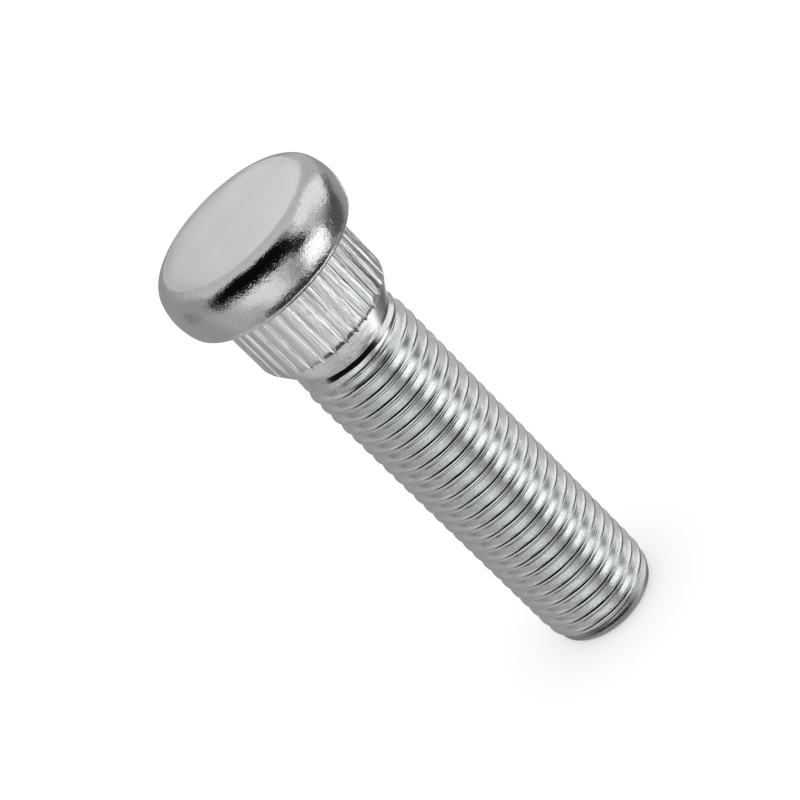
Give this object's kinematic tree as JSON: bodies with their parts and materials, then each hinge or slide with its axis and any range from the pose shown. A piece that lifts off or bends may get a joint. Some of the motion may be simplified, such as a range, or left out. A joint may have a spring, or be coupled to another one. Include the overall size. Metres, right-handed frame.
{
  "type": "wheel stud",
  "caption": "Press-in wheel stud with a low round head, a serrated collar, a smooth neck and a fine rolled thread.",
  "frame": {"origin": "centre of the flat thread end, on the stud's axis; the stud stands on this face", "axes": "+Z along the stud's axis, from the thread end to the head; X and Y are free, because the stud is round"},
  "size_m": [0.0192, 0.0192, 0.0558],
  "materials": {
    "bright_zinc_plated_steel": "bright zinc plate, satin, over cold-forged and rolled steel"
  },
  "bodies": {
    "root": {"wheel_stud": "bright_zinc_plated_steel"}
  },
  "joints": []
}
